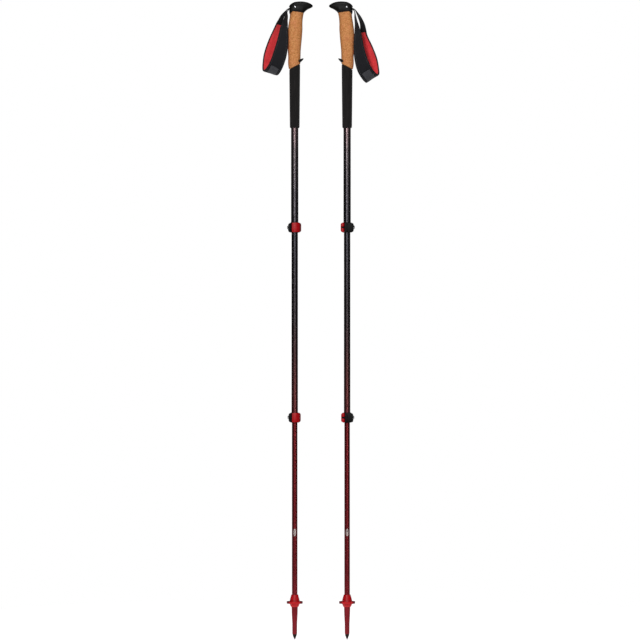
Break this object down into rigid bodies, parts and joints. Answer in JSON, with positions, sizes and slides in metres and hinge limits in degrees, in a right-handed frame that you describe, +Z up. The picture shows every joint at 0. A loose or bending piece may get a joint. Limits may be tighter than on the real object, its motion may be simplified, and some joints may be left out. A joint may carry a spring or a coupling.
{
  "type": "pair of telescopic trekking poles",
  "caption": "Telescopic walking poles with flip-lever clamps, cork and foam grips, padded wrist straps, small baskets and carbide tips; they shorten for packing and steady a walker",
  "frame": {"origin": "ground point midway between the two tips", "axes": "+Z up along the shafts, +X from the left pole to the right pole, +Y away from the viewer"},
  "size_m": [0.2579, 0.0385, 1.4],
  "materials": {
    "anodised_black": "black anodised, fading to dark red at the lower end of the middle shaft",
    "anodised_red": "dark red anodised",
    "cork": "ground cork agglomerate",
    "black_foam": "closed-cell foam",
    "black_rubber": "satin moulded rubber",
    "black_plastic": "moulded nylon",
    "red_plastic": "moulded, satin gloss",
    "bright_steel": "plain steel",
    "black_steel": "black oxide",
    "carbide": "sintered carbide",
    "black_webbing": "woven",
    "red_lining": "brushed knit over a soft pad",
    "grey_patch": "plain sewn patch"
  },
  "bodies": {
    "left_grip": {"left_upper_shaft": "anodised_black", "left_pommel": "black_rubber", "left_cork_grip": "cork", "left_grip_core": "black_plastic", "left_foam_grip": "black_foam", "left_finger_ledge": "black_rubber", "left_strap_pin": "bright_steel", "left_strap_anchor": "black_webbing", "left_upper_collar": "black_plastic", "left_upper_hinge_pin": "bright_steel"},
    "left_upper_lever": {"left_upper_lever": "red_plastic"},
    "left_upper_screw": {"left_upper_screw": "bright_steel"},
    "left_middle": {"left_middle_shaft": "anodised_black", "left_middle_plug": "black_plastic", "left_lower_collar": "black_plastic", "left_lower_hinge_pin": "bright_steel"},
    "left_lower_lever": {"left_lower_lever": "red_plastic"},
    "left_lower_screw": {"left_lower_screw": "bright_steel"},
    "left_lower": {"left_lower_shaft": "anodised_red", "left_lower_plug": "black_plastic", "left_basket": "red_plastic", "left_tip_ferrule": "red_plastic", "left_tip_holder": "black_steel", "left_carbide_tip": "carbide"},
    "left_strap": {"left_strap_webbing": "black_webbing", "left_strap_shell": "black_webbing", "left_strap_lining": "red_lining", "left_strap_label": "grey_patch"},
    "left_wedge": {"left_strap_wedge": "black_plastic"},
    "right_grip": {"right_upper_shaft": "anodised_black", "right_pommel": "black_rubber", "right_cork_grip": "cork", "right_grip_core": "black_plastic", "right_foam_grip": "black_foam", "right_finger_ledge": "black_rubber", "right_strap_pin": "bright_steel", "right_strap_anchor": "black_webbing", "right_upper_collar": "black_plastic", "right_upper_hinge_pin": "bright_steel"},
    "right_upper_lever": {"right_upper_lever": "red_plastic"},
    "right_upper_screw": {"right_upper_screw": "bright_steel"},
    "right_middle": {"right_middle_shaft": "anodised_black", "right_middle_plug": "black_plastic", "right_lower_collar": "black_plastic", "right_lower_hinge_pin": "bright_steel"},
    "right_lower_lever": {"right_lower_lever": "red_plastic"},
    "right_lower_screw": {"right_lower_screw": "bright_steel"},
    "right_lower": {"right_lower_shaft": "anodised_red", "right_lower_plug": "black_plastic", "right_basket": "red_plastic", "right_tip_ferrule": "red_plastic", "right_tip_holder": "black_steel", "right_carbide_tip": "carbide"},
    "right_strap": {"right_strap_webbing": "black_webbing", "right_strap_shell": "black_webbing", "right_strap_lining": "red_lining", "right_strap_label": "grey_patch"},
    "right_wedge": {"right_strap_wedge": "black_plastic"}
  },
  "joints": [
    {"name": "left_upper_lever_hinge", "type": "hinge", "parent": "left_grip", "child": "left_upper_lever", "pos_m": [-0.0473, 0.0104, 0.904], "axis": [0, 0, 1], "range_deg": [0, 130]},
    {"name": "left_upper_screw_turn", "type": "hinge", "parent": "left_grip", "child": "left_upper_screw", "pos_m": [-0.0695, 0.0104, 0.904], "axis": [1, 0, 0], "range_deg": [-540, 540]},
    {"name": "left_middle_slide", "type": "slide", "parent": "left_grip", "child": "left_middle", "axis": [0, 0, 1], "range_m": [0, 0.375]},
    {"name": "left_lower_lever_hinge", "type": "hinge", "parent": "left_middle", "child": "left_lower_lever", "pos_m": [-0.0483, 0.0094, 0.487], "axis": [0, 0, 1], "range_deg": [0, 130]},
    {"name": "left_lower_screw_turn", "type": "hinge", "parent": "left_middle", "child": "left_lower_screw", "pos_m": [-0.0685, 0.0094, 0.487], "axis": [1, 0, 0], "range_deg": [-540, 540]},
    {"name": "left_lower_slide", "type": "slide", "parent": "left_middle", "child": "left_lower", "axis": [0, 0, 1], "range_m": [0, 0.37]},
    {"name": "left_strap_swing", "type": "hinge", "parent": "left_grip", "child": "left_strap", "pos_m": [-0.0725, 0, 1.382], "axis": [0, 1, 0], "range_deg": [0, 70]},
    {"name": "left_wedge_slide", "type": "slide", "parent": "left_grip", "child": "left_wedge", "axis": [0, 0, 1], "range_m": [0, 0.006]},
    {"name": "right_upper_lever_hinge", "type": "hinge", "parent": "right_grip", "child": "right_upper_lever", "pos_m": [0.0473, -0.0104, 0.904], "axis": [0, 0, 1], "range_deg": [0, 130]},
    {"name": "right_upper_screw_turn", "type": "hinge", "parent": "right_grip", "child": "right_upper_screw", "pos_m": [0.0695, -0.0104, 0.904], "axis": [-1, 0, 0], "range_deg": [-540, 540]},
    {"name": "right_middle_slide", "type": "slide", "parent": "right_grip", "child": "right_middle", "axis": [0, 0, 1], "range_m": [0, 0.375]},
    {"name": "right_lower_lever_hinge", "type": "hinge", "parent": "right_middle", "child": "right_lower_lever", "pos_m": [0.0483, -0.0094, 0.487], "axis": [0, 0, 1], "range_deg": [0, 130]},
    {"name": "right_lower_screw_turn", "type": "hinge", "parent": "right_middle", "child": "right_lower_screw", "pos_m": [0.0685, -0.0094, 0.487], "axis": [-1, 0, 0], "range_deg": [-540, 540]},
    {"name": "right_lower_slide", "type": "slide", "parent": "right_middle", "child": "right_lower", "axis": [0, 0, 1], "range_m": [0, 0.37]},
    {"name": "right_strap_swing", "type": "hinge", "parent": "right_grip", "child": "right_strap", "pos_m": [0.0725, 0, 1.382], "axis": [0, -1, 0], "range_deg": [0, 70]},
    {"name": "right_wedge_slide", "type": "slide", "parent": "right_grip", "child": "right_wedge", "axis": [0, 0, 1], "range_m": [0, 0.006]},
    {"name": "pole_spacing", "type": "slide", "parent": "left_grip", "child": "right_grip", "axis": [1, 0, 0], "range_m": [-0.025, 0.3]}
  ]
}
